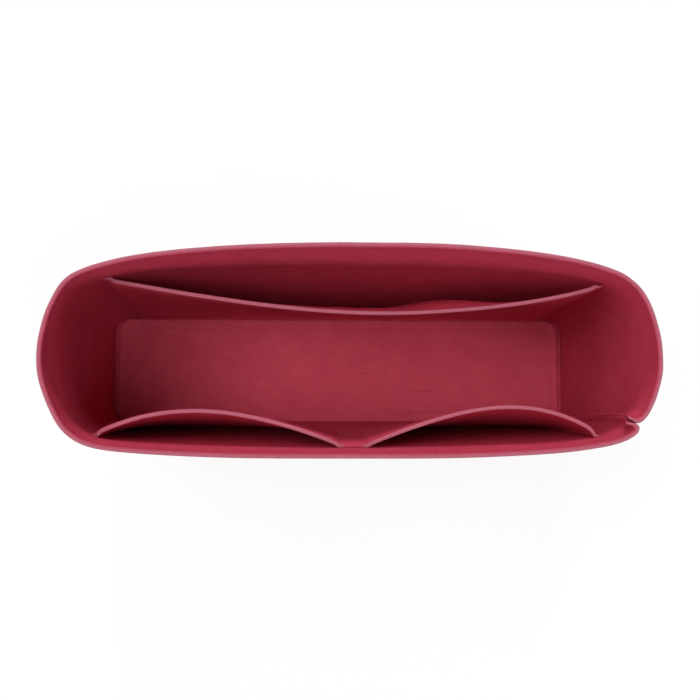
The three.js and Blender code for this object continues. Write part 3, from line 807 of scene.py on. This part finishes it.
class SeamEnd:
    """One end of the band at the corner seam: its turned-in allowance, pressed to a share of the felt's
    thickness, and the turn into the wall. The two allowances stand open at the rim, and are partly hidden
    further down. side is 1 at the right end and -1 at the front."""

    gap = 0.03 * MM
    pressed = 0.5
    gape_power = 1.4
    rounding = 1.1 * MM
    turned = 1.6 * MM
    blend = 12 * MM
    open_height = 7 * MM
    open_width = 0.85 * MM
    hidden = 1.7 * MM
    hidden_height = 15 * MM
    fillet = 3.0 * MM

    def __init__(self, walls, side, heights):
        self.walls, self.side, self.heights = walls, side, heights
        self.thick = self.pressed * walls.t
        sizes = walls.sizes
        below = sizes.height - heights
        opened = self.gap + self.open_width * np.clip(1 - below / self.open_height, 0, 1) ** self.gape_power
        tip = sizes.allowance - self.hidden * smooth(below / self.hidden_height)
        self.tip_out = walls.seam_point(heights, tip, side * opened)
        self.tip_in = walls.seam_point(heights, tip, side * (opened + self.thick))
        self.near = walls.seam_point(heights, np.full_like(heights, self.rounding), side * self.gap)
        self.cusp = walls.seam_point(heights, np.zeros_like(heights), side * self.gap)
        self.crease_at = self.find_crease()
        self.crease = self.on_wall(self.crease_at, walls.t)
        self.after = self.on_wall(self.crease_at + self.fillet, walls.t)

    def distance(self, away):
        """A distance round the wall, from the distance away from the seam"""
        return away if self.side > 0 else self.walls.around - away

    def on_wall(self, away, inset):
        """Points in the wall beside the seam"""
        return self.walls.point(self.distance(away), self.heights, inset)

    def find_crease(self):
        """How far from the seam the wall's inner face meets the allowance's, at each height"""
        away = np.linspace(0, self.blend, 120)
        found = []
        cusp, _, across = self.walls.seam(self.heights)
        for k, height in enumerate(self.heights):
            inner = self.walls.point(self.distance(away), np.full_like(away, height), self.walls.t)[:, :2]
            sideways = self.side * ((inner - cusp[k]) @ across[k])
            found.append(np.interp(self.gap + self.thick, np.maximum.accumulate(sideways), away))
        return np.array(found)

    def flank(self, share):
        """The inner face from the allowance's cut edge, at 0, round the soft crease to the wall, at 1"""
        on_line = bend(self.tip_in, self.crease, self.after, share)
        way = (1 - share) * (self.crease - self.tip_in) + share * (self.after - self.crease)
        normal = self.side * np.stack([-way[:, 1], way[:, 0], np.zeros(len(way))], 1)
        return on_line, normal / np.linalg.norm(normal, axis=1, keepdims=True)

    def columns(self):
        """Grids of the outer and inner points from the allowance's cut edge to the start of the wall"""
        outer = [self.tip_out + share * (self.near - self.tip_out) for share in ALLOWANCE_SHARES]
        inner = [self.flank(0.5 * share)[0] for share in ALLOWANCE_SHARES]
        start = self.on_wall(np.full_like(self.heights, self.turned), 0.0)
        for share in TURN_SHARES:
            outer.append(bend(self.near, self.cusp, start, share))
            inner.append(self.flank(0.5 + 0.5 * share)[0])
        return np.stack(outer, 1), np.stack(inner, 1)

    def inner_away(self, away):
        """How far from the seam the inner face's point lies that faces an outer one"""
        start = (self.crease_at + self.fillet)[:, None]
        share = (away - self.turned) / (self.blend - self.turned)
        return np.where(away < self.blend, start + share * (self.blend - start), away)


def band_heights(walls, foot_run):
    """The heights of the wall's rows from the rim down to the ledge where the allowances end"""
    top = walls.sizes.height - RIM_BULGE
    marks = graded(walls.ledge, top, ROW_STEP, [foot_run], RUN_REACH)
    rim = [top - drop for drop in RIM_ROWS]
    kept = [h for h in marks[1:-1] if all(abs(h - r) > LEAST_ROW_STEP for r in rim)]
    return np.array(sorted([walls.ledge, *kept, *rim, top], reverse=True))


def hem_course(walls):
    """The band's section below the ledge: outer and inner face as inset and height"""
    t, fold = walls.t, walls.fold
    outer, inner = [], []
    for angle in np.radians(FOLD_ANGLES):
        outer.append((fold * (1 - np.cos(angle)), fold * (1 - np.sin(angle))))
        inner.append((fold - (fold - t) * np.cos(angle), fold - (fold - t) * np.sin(angle)))
    for away in GROOVE_PLACES:
        inset = walls.base_run + away * MM
        outer.append((inset, GROOVE * math.exp(-(away / GROOVE_WIDTH) ** 2)))
        inner.append((inset, t))
    edge = t + walls.sizes.hem
    outer.append((edge, 0))
    inner.append((edge, t))
    return np.array(outer), np.array(inner)


def felt_band(walls, pockets):
    """The wall band with its corner seam allowances, its fold and its hem"""
    around = walls.around
    foot_run = pockets[0].foot_run
    heights = band_heights(walls, foot_run)
    ends = [SeamEnd(walls, 1, heights), SeamEnd(walls, -1, heights)]
    runs = [pockets[0].first, pockets[0].last, pockets[1].first, pockets[1].last, pockets[1].middle]
    away = graded(SeamEnd.turned, around - SeamEnd.turned, BAND_STEP, runs, RUN_REACH)
    close = SeamEnd.turned + np.array(SEAM_COLUMNS)
    clear = away[(away > close[-1]) & (away < around - close[-1])]
    away = np.unique(np.concatenate([away[[0, -1]], clear, close, around - close]))
    high = heights[:, None]
    nearest = np.full((len(heights), len(away)), np.inf)
    for course in courses(pockets):
        nearest = np.minimum(nearest, near_course(away[None], high, course))
    outer_wall = walls.point(away[None], high, channel(nearest))
    inner_distance = ends[0].inner_away(away[None])
    inner_distance = around - ends[1].inner_away(around - inner_distance)
    inner_wall = walls.point(inner_distance, high, walls.t)
    first, last = ends[0].columns(), ends[1].columns()
    outer = np.concatenate([first[0], outer_wall, last[0][:, ::-1]], 1)
    inner = np.concatenate([first[1], inner_wall, last[1][:, ::-1]], 1)

    folded = len(ALLOWANCE_SHARES) - 1
    turn = np.array([0, *TURN_SHARES]) * SeamEnd.turned
    below = np.concatenate([turn, away, around - turn[::-1]])
    pull = SeamEnd.rounding * np.clip(1 - np.minimum(below, around - below) / SeamEnd.turned, 0, 1) ** 2
    grids = []
    for upper, course in zip((outer, inner), hem_course(walls)):
        low = [low_point(walls, below, np.maximum(inset, pull), height) for inset, height in course]
        low = apart_at_seam(walls, np.array(low))
        empty = np.zeros((len(course), folded, 3))
        grids.append(np.concatenate([upper, np.concatenate([empty, low, empty], 1)]))
    outer, inner = grids
    cells = np.ones((len(outer) - 1, outer.shape[1] - 1), bool)
    cells[len(heights) - 1:, :folded] = False
    cells[len(heights) - 1:, -folded:] = False
    return outer, inner, cells


def low_point(walls, distance, inset, height):
    """Points of the fold and the hem, which follow the base's outline"""
    place, _ = walls.base(distance, inset)
    wall, _ = walls.face(distance, np.full_like(distance, height))
    foot, _ = walls.base(distance)
    upright = smooth(1 - inset / walls.fold)[:, None]
    place = place + upright * (wall - foot)
    return np.concatenate([place, np.full((len(distance), 1), height)], 1)


def apart_at_seam(walls, rows):
    """Moves the two ends of the hem's rows clear of each other"""
    _, _, across = walls.seam(np.zeros(1))
    shift = np.append(across[0], 0) * SeamEnd.gap
    rows[:, 0] += shift
    rows[:, -1] -= shift
    return rows


def courses(pockets):
    """Every stitch course that shows on the outside of the walls"""
    back, front = pockets
    middle = [(front.middle, front.run_top), (front.middle, front.foot_run + 3 * MM)]
    return [back.runs(), front.runs(), middle]


RIM_WANDER = 0.16 * MM
RIM_WANDER_LENGTH = 14 * MM
RIM_DEPTH = 4 * MM
# How pale the allowances' cut edges are: little at the foot, and more by this at the rim
ALLOWANCE_PALENESS = 0.05
ALLOWANCE_PALER = 0.55


def ragged_rim(points, top):
    """Lets the cut rim wander up and down a little"""
    near = np.exp(-(top - points[..., 2]) / RIM_DEPTH) * (points[..., 2] > top - 5 * RIM_DEPTH)
    points[..., 2] += RIM_WANDER * near * ripple(points[..., 0], points[..., 1] * 1.3, RIM_WANDER_LENGTH, 5)
    return points


def band_paleness(sizes, heights):
    """How pale the band's cut edges and faces are: most at the rim, and little down the allowances"""
    below = sizes.height - RIM_BULGE - heights
    depth = np.clip(below, 0, None)
    allowance = ALLOWANCE_PALENESS + ALLOWANCE_PALER * np.exp(-depth / RIM_DEPTH)
    pale = np.where(below < RIM_BULGE, RIM_PALENESS, allowance)
    return pale, RIM_BLUSH * np.exp(-depth / BLUSH_DEPTH)


class INSERT_OT_wall_band(bpy.types.Operator):
    """Makes the felt wall band with its corner seam and hem"""

    bl_idname = "insert.wall_band"
    bl_label = "Wall band"

    def execute(self, context):
        sizes = context.scene.insert_sizes
        walls = Walls(sizes)
        outer, inner, cells = felt_band(walls, (back_pocket(walls), front_strip(walls)))
        pale, blush = band_paleness(sizes, inner[..., 2])
        outer, inner = ragged_rim(outer, sizes.height), ragged_rim(inner, sizes.height)
        band = thick_sheet(
            "felt_wall_band", outer, inner, wall_felt(), RIM_BULGE, pale, blush, RIM_FADE, cells)
        hand_over(band, "wall_band")
        return {"FINISHED"}


# The floor panel

# Each crease's middle in millimetres, its turn in degrees, half its length and its bow in millimetres
FLOOR_CREASES = (
    (-59.8, 5.8, -22, 5.6, 0.5),
    (13.8, -1.2, -4, 2.2, 0.0),
    (44.0, -10.3, 0, 7.6, 0.9),
)


class INSERT_OT_floor_panel(bpy.types.Operator):
    """Makes the felt floor panel that lies on the hem"""

    bl_idname = "insert.floor_panel"
    bl_label = "Floor panel"

    corner_radius = 7 * MM
    corner_angles = (0, 25, 45, 65)
    row_step, fine_row_step, least_row_step = 1.1 * MM, 0.4 * MM, 0.12 * MM
    column_step = 1 * MM
    wave, wave_length = 0.12 * MM, 60 * MM
    lifted = 0.02 * MM
    bulge = 0.4 * MM
    paleness = 0.3
    dent = 0.55 * MM

    def execute(self, context):
        walls = Walls(context.scene.insert_sizes)
        low, high = FLOOR_BOX
        half_x, half_y = (high.x - low.x) / 2, (high.y - low.y) / 2
        run_x, run_y = walls.half_length - walls.base_run, walls.half_width - walls.base_run
        across = self.rows(half_y, run_y)
        along = graded(-half_x, half_x, self.column_step, [-run_x, run_x], RUN_REACH) / half_x
        from_flat = np.clip(np.abs(across) - (half_y - self.corner_radius), 0, self.corner_radius)
        cut_in = self.corner_radius - np.sqrt(self.corner_radius ** 2 - from_flat ** 2)
        x = along[None] * (half_x - cut_in[:, None])
        y = np.broadcast_to(across[:, None], x.shape)
        away = np.abs(np.maximum(np.abs(x) - run_x, np.abs(y) - run_y))
        wave = self.wave * ripple(x, y, self.wave_length, 3)
        top = high.z + wave - channel(away) + self.creases(x, y)
        face = np.stack([x, y, top], -1)
        under = np.stack([x, y, np.full_like(x, low.z + self.lifted)], -1)
        panel = thick_sheet("felt_floor_panel", face, under, floor_felt(), self.bulge, self.paleness)
        hand_over(panel, "floor_panel")
        return {"FINISHED"}

    def rows(self, half_y, run_y):
        """Where the mesh's rows lie: evenly, and closer by the seam, the corners and the creases"""
        even = graded(-half_y, half_y, self.row_step, [-run_y, run_y], RUN_REACH)
        turns = self.corner_radius * (1 - np.cos(np.radians(self.corner_angles)))
        corners = np.concatenate([half_y - turns, turns - half_y])
        creased = [middle_y * MM + k * self.fine_row_step
                   for _, middle_y, *_ in FLOOR_CREASES for k in range(-9, 10)]
        found = np.unique(np.round(np.concatenate([even, corners, creased]), 6))
        return found[np.append(True, np.diff(found) > self.least_row_step)]

    def creases(self, x, y):
        """Three short soft creases, as felt keeps from being folded: a low fold about 0.7 mm wide, with a
        dent 1 mm wide beside it"""
        total = np.zeros_like(x)
        for middle_x, middle_y, turn, half_length, bow in FLOOR_CREASES:
            turn = math.radians(turn)
            along = (x - middle_x * MM) * math.cos(turn) + (y - middle_y * MM) * math.sin(turn)
            aside = (y - middle_y * MM) * math.cos(turn) - (x - middle_x * MM) * math.sin(turn)
            along = along / (half_length * MM)
            aside = aside / MM + bow * (1 - along ** 2)
            fold = np.exp(-((aside - 0.5) / 0.7) ** 2) - np.exp(-((aside + 0.9) / 1.0) ** 2)
            total += self.dent * fold * np.exp(-along ** 4)
        return total


# The pockets

# Where the mesh is finer: beside the seams and the mouths' ends, and under the mouth
MOUTH_REACH = tuple(x * MM for x in (0, 0.6, 1.2, 1.8, 2.4, 3.4))
MOUTH_ROWS = tuple(x * MM for x in (0, 0.45, 1.2))
POCKET_ROW_STEP = 3.2 * MM
LEAST_COLUMN_STEP = 0.2 * MM
POCKET_BULGE = 0.28 * MM
SIDE_PALENESS = 0.3
MOUTH_BLUSH = 0.3


def pocket_sheet(name, pocket, runs):
    """A pocket piece as a felt sheet that lies on the wall at its seams and bellies out between them"""
    ends = [x for mouth in pocket.mouths for x in mouth[:2]]
    columns = graded(pocket.start, pocket.end, BAND_STEP, [*runs, *ends], MOUTH_REACH)
    columns = np.delete(columns, np.flatnonzero(np.diff(columns) < LEAST_COLUMN_STEP))
    rows = graded(pocket.foot, pocket.top, POCKET_ROW_STEP, [pocket.foot_run], RUN_REACH)
    rows = np.sort(np.append(rows[rows < pocket.top - 2 * MM], pocket.top - np.array(MOUTH_ROWS)))
    d, h = columns[None], rows[:, None]
    back = pocket.back(d, h)
    front = pocket.front(d, h, channel(pocket.near_seams(d, h)))
    at_mouth = h >= pocket.top - 0.1 * MM
    pale = SIDE_PALENESS + at_mouth * (pocket.paleness(d) - SIDE_PALENESS)
    blush = MOUTH_BLUSH * pocket.paleness(d) * np.exp((h - pocket.top) / BLUSH_DEPTH)
    return thick_sheet(name, front, back, wall_felt(), POCKET_BULGE, pale, blush)


class INSERT_OT_pockets(bpy.types.Operator):
    """Makes the back pocket and the front pocket strip"""

    bl_idname = "insert.pockets"
    bl_label = "Pockets"

    def execute(self, context):
        walls = Walls(context.scene.insert_sizes)
        back, strip = back_pocket(walls), front_strip(walls)
        pieces = (
            ("felt_back_pocket", "back_pocket_panel", back, [back.first, back.last]),
            ("felt_front_strip", "front_pocket_strip", strip, [strip.first, strip.middle, strip.last]),
        )
        for name, cad_node, pocket, runs in pieces:
            sheet = pocket_sheet(name, pocket, runs)
            hand_over(sheet, cad_node)
        return {"FINISHED"}


# The stitches

def course_places(course, step=0.8 * MM):
    """Close places along a seam's course, as distance and height"""
    found = []
    for (a, b), (c, d) in zip(course, course[1:]):
        count = max(2, round(math.hypot(c - a, d - b) / step))
        share = np.arange(count) / count
        found.append(np.stack([a + share * (c - a), b + share * (d - b)], 1))
    return np.vstack([*found, course[-1:]])


def stitch_on_wall(name, cad_node, walls, course, sizes):
    """A bobbin thread's stitches on the outside of the wall"""
    d, h = course_places(course).T
    places = walls.point(d, h, np.full_like(d, CHANNEL))
    made = lockstitches(name, places, walls.outward(d, h), sizes, sewing_thread())
    return hand_over(made, cad_node)


def stitch_on_pocket(name, cad_node, pocket, course, sizes):
    """A needle thread's stitches on the front of a pocket piece"""
    d, h = course_places(course).T
    places = pocket.front(d, h, np.full_like(d, CHANNEL))
    made = lockstitches(name, places, pocket.normal(d, h), sizes, sewing_thread())
    return hand_over(made, cad_node)


class INSERT_OT_pocket_stitches(bpy.types.Operator):
    """Sews the pockets to the walls"""

    bl_idname = "insert.pocket_stitches"
    bl_label = "Pocket stitches"

    def execute(self, context):
        sizes = context.scene.insert_sizes
        walls = Walls(sizes)
        back, strip = back_pocket(walls), front_strip(walls)
        names = ("back_pocket", "front_pocket", "middle_seam")
        for name, pocket, course in zip(names, (back, strip, strip), courses((back, strip))):
            stitch_on_pocket(f"{name}_needle_stitches", f"{name}_needle_thread", pocket, course, sizes)
            stitch_on_wall(f"{name}_bobbin_stitches", f"{name}_bobbin_thread", walls, course, sizes)
        return {"FINISHED"}


class INSERT_OT_base_stitches(bpy.types.Operator):
    """Sews the floor panel to the hem"""

    bl_idname = "insert.base_stitches"
    bl_label = "Base stitches"

    points = 700

    def execute(self, context):
        sizes = context.scene.insert_sizes
        walls = Walls(sizes)
        place, _ = walls.base(np.linspace(0, walls.around, self.points), walls.base_run)
        top = FLOOR_BOX[1].z - CHANNEL
        faces = (("needle", top, 1.0), ("bobbin", GROOVE, -1.0))
        for name, height, up in faces:
            places = np.concatenate([place, np.full((len(place), 1), height)], 1)
            normals = np.tile((0.0, 0.0, up), (len(place), 1))
            made = lockstitches(f"base_{name}_stitches", places, normals, sizes, sewing_thread())
            hand_over(made, f"base_seam_{name}_thread")
        return {"FINISHED"}


class INSERT_OT_corner_stitches(bpy.types.Operator):
    """Sews the band's two ends together in the corner"""

    bl_idname = "insert.corner_stitches"
    bl_label = "Corner stitches"

    points = 160
    over_ledge, under_rim = 1.5 * MM, 17.5 * MM
    flank_share = 0.3

    def execute(self, context):
        sizes = context.scene.insert_sizes
        walls = Walls(sizes)
        low, high = walls.ledge + self.over_ledge, sizes.height - self.under_rim
        heights = np.linspace(low, high, self.points)
        for name, side in (("needle", 1), ("bobbin", -1)):
            places, normals = SeamEnd(walls, side, heights).flank(self.flank_share)
            made = lockstitches(f"corner_{name}_stitches", places, normals, sizes, sewing_thread())
            hand_over(made, f"corner_seam_{name}_thread")
        return {"FINISHED"}


# The stage

# Each lamp's name, azimuth and elevation in degrees, strength, and how wide it looks in degrees
LAMPS = (
    ("key_left", 180, 70, 1.11, 30),
    ("key_right", 315, 70, 0.84, 30),
    ("key_back", 135, 70, 0.68, 30),
    ("top", 0, 85, 0.1, 30),
    ("high_left", 180, 50, 0.16, 22),
    ("high_back", 135, 50, 0.45, 22),
    ("back", 90, 21, 1.3, 15),
    ("low_back_right", 30, 20, 0.32, 16),
    ("low_right", 0, 13, 0.06, 15),
    ("low_left", 190, 13, 0.26, 15),
    ("low_front_left", 240, 19, 0.27, 16),
    ("low_front", 270, 14, 0.5, 16),
    ("low_front_right", 300, 20, 0.08, 16),
)


class INSERT_OT_stage(bpy.types.Operator):
    """Sets up the floor, the lamps and the camera"""

    bl_idname = "insert.stage"
    bl_label = "Stage"

    floor_half, floor_drop = 3.0, 0.3 * MM
    paper_white = 0.85

    def execute(self, context):
        studio = context.scene.insert_studio
        self.floor()
        self.world(studio)
        for name, azimuth, elevation, strength, spread in LAMPS:
            self.lamp(name, azimuth, elevation, strength * studio.light, spread)
        self.camera(studio)
        context.scene.view_settings.view_transform = "Standard"
        return {"FINISHED"}

    def floor(self):
        """A sheet of paper just under the felt"""
        half, drop = self.floor_half, self.floor_drop
        corners = [(-half, -half, -drop), (half, -half, -drop), (half, half, -drop), (-half, half, -drop)]
        paper = studio_paper(self.paper_white)
        mesh_object("studio_floor", np.array(corners), [(0, 1, 2, 3)], paper)

    def world(self, studio):
        """Faint even light from all sides, before a white background"""
        world = bpy.data.worlds.new("soft_room")
        world.use_nodes = True
        tree = world.node_tree
        tree.nodes.clear()
        room = node(tree, "ShaderNodeBackground", Color=(1, 1, 1, 1), Strength=studio.fill)
        white = node(tree, "ShaderNodeBackground", Color=(1, 1, 1, 1), Strength=1.0)
        mixed = node(tree, "ShaderNodeMixShader", None,
                     {0: seen_directly(tree), 1: room.outputs["Background"], 2: white.outputs["Background"]})
        node(tree, "ShaderNodeOutputWorld", Surface=mixed.outputs["Shader"])
        bpy.context.scene.world = world

    def lamp(self, name, azimuth, elevation, strength, spread):
        """A far soft lamp: azimuth turns from +X to +Y, and spread is how wide the lamp looks"""
        data = bpy.data.lights.new(name, "SUN")
        data.energy = strength
        data.angle = math.radians(spread)
        lamp = bpy.data.objects.new(name, data)
        azimuth, elevation = math.radians(azimuth), math.radians(elevation)
        level = math.cos(elevation)
        towards = Vector((level * math.cos(azimuth), level * math.sin(azimuth), math.sin(elevation)))
        lamp.rotation_euler = towards.to_track_quat("Z", "Y").to_euler()
        bpy.context.scene.collection.objects.link(lamp)

    def camera(self, studio):
        """The photograph's camera, whose picture's top lies towards +Y"""
        data = bpy.data.cameras.new("camera")
        data.lens = studio.lens
        data.sensor_width = 36
        data.clip_start, data.clip_end = 0.01, 20
        camera = bpy.data.objects.new("camera", data)
        eye, target = Vector(studio.eye), Vector(studio.target)
        forward = (target - eye).normalized()
        right = forward.cross(Vector((0, 1, 0))).normalized()
        up = right.cross(forward)
        turn = Matrix((right, up, -forward)).transposed().to_4x4()
        camera.matrix_world = Matrix.Translation(eye) @ turn
        bpy.context.scene.collection.objects.link(camera)
        bpy.context.scene.camera = camera


class INSERT_PT_panel(bpy.types.Panel):
    """Lists the insert's sizes, colours and steps"""

    bl_idname = "INSERT_PT_panel"
    bl_label = "Felt insert"
    bl_space_type = "VIEW_3D"
    bl_region_type = "UI"
    bl_category = "Insert"

    def draw(self, context):
        layout = self.layout
        for group in (context.scene.insert_sizes, context.scene.insert_colours, context.scene.insert_studio):
            box = layout.box()
            for key in group.__annotations__:
                box.prop(group, key)
        for step in STEPS:
            layout.operator(step.bl_idname)


GROUPS = (InsertSizes, InsertColours, InsertStudio)
STEPS = (
    INSERT_OT_stage,
    INSERT_OT_wall_band,
    INSERT_OT_floor_panel,
    INSERT_OT_pockets,
    INSERT_OT_pocket_stitches,
    INSERT_OT_base_stitches,
    INSERT_OT_corner_stitches,
)


def register():
    for made in (*GROUPS, *STEPS, INSERT_PT_panel):
        bpy.utils.register_class(made)
    bpy.types.Scene.insert_sizes = PointerProperty(type=InsertSizes)
    bpy.types.Scene.insert_colours = PointerProperty(type=InsertColours)
    bpy.types.Scene.insert_studio = PointerProperty(type=InsertStudio)


def unregister():
    del bpy.types.Scene.insert_sizes
    del bpy.types.Scene.insert_colours
    del bpy.types.Scene.insert_studio
    for made in reversed((*GROUPS, *STEPS, INSERT_PT_panel)):
        bpy.utils.unregister_class(made)


def main():
    register()
    bpy.ops.insert.stage()
    bpy.ops.insert.wall_band()
    bpy.ops.insert.floor_panel()
    bpy.ops.insert.pockets()
    bpy.ops.insert.pocket_stitches()
    bpy.ops.insert.base_stitches()
    bpy.ops.insert.corner_stitches()


if __name__ == "__main__":
    main()
